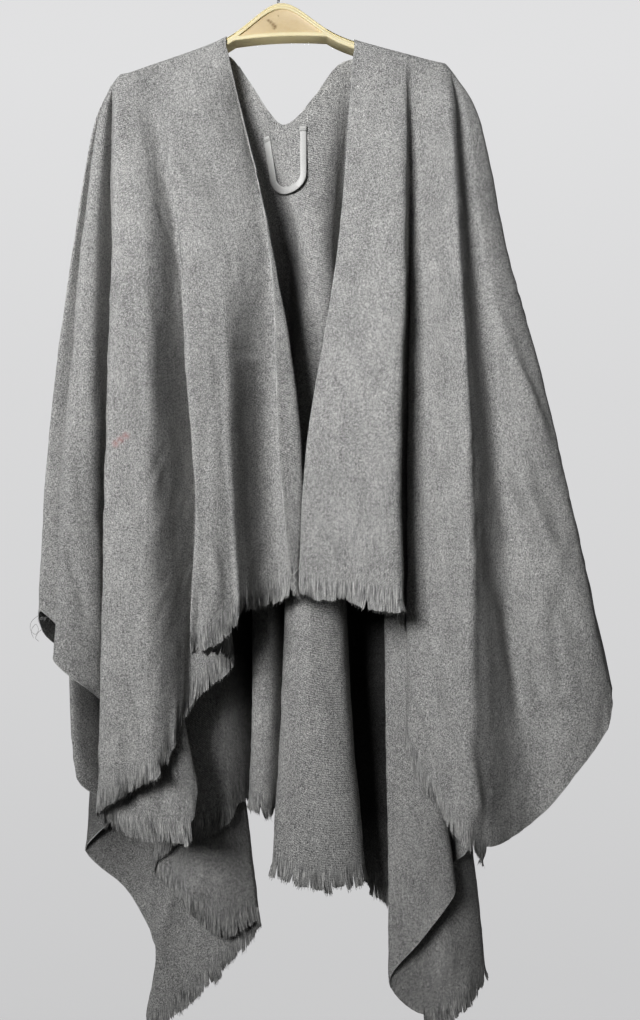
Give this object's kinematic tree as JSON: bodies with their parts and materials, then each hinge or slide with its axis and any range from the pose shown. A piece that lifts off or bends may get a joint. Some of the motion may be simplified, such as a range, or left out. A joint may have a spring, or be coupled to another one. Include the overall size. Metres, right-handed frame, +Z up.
{
  "type": "woven poncho on a hanger",
  "caption": "Open-front grey woven poncho with fringed hems, hung over a moulded hanger with a wire hook, its wide wings falling in deep folds.",
  "frame": {"origin": "inside of the top of the hook, where a rail or peg carries the hanger", "axes": "+Z up, front of the poncho towards -Y, X along the hanger; the wearer's left front is at +X"},
  "size_m": [0.6866, 0.2252, 1.3364],
  "materials": {
    "cloth": "fine grey melange twill with a light nap",
    "fringe": "loose warp ends of the same yarn",
    "tape": "light satin tape",
    "hanger_plastic": "cream moulded plastic, half gloss",
    "hook_wire": "plain drawn wire"
  },
  "bodies": {
    "root": {"front_left": "cloth", "front_right": "cloth", "back": "cloth", "fringe_front_left": "fringe", "fringe_front_right": "fringe", "fringe_back": "fringe", "neck_tape": "tape", "hanger": "hanger_plastic", "hook": "hook_wire"}
  },
  "joints": []
}
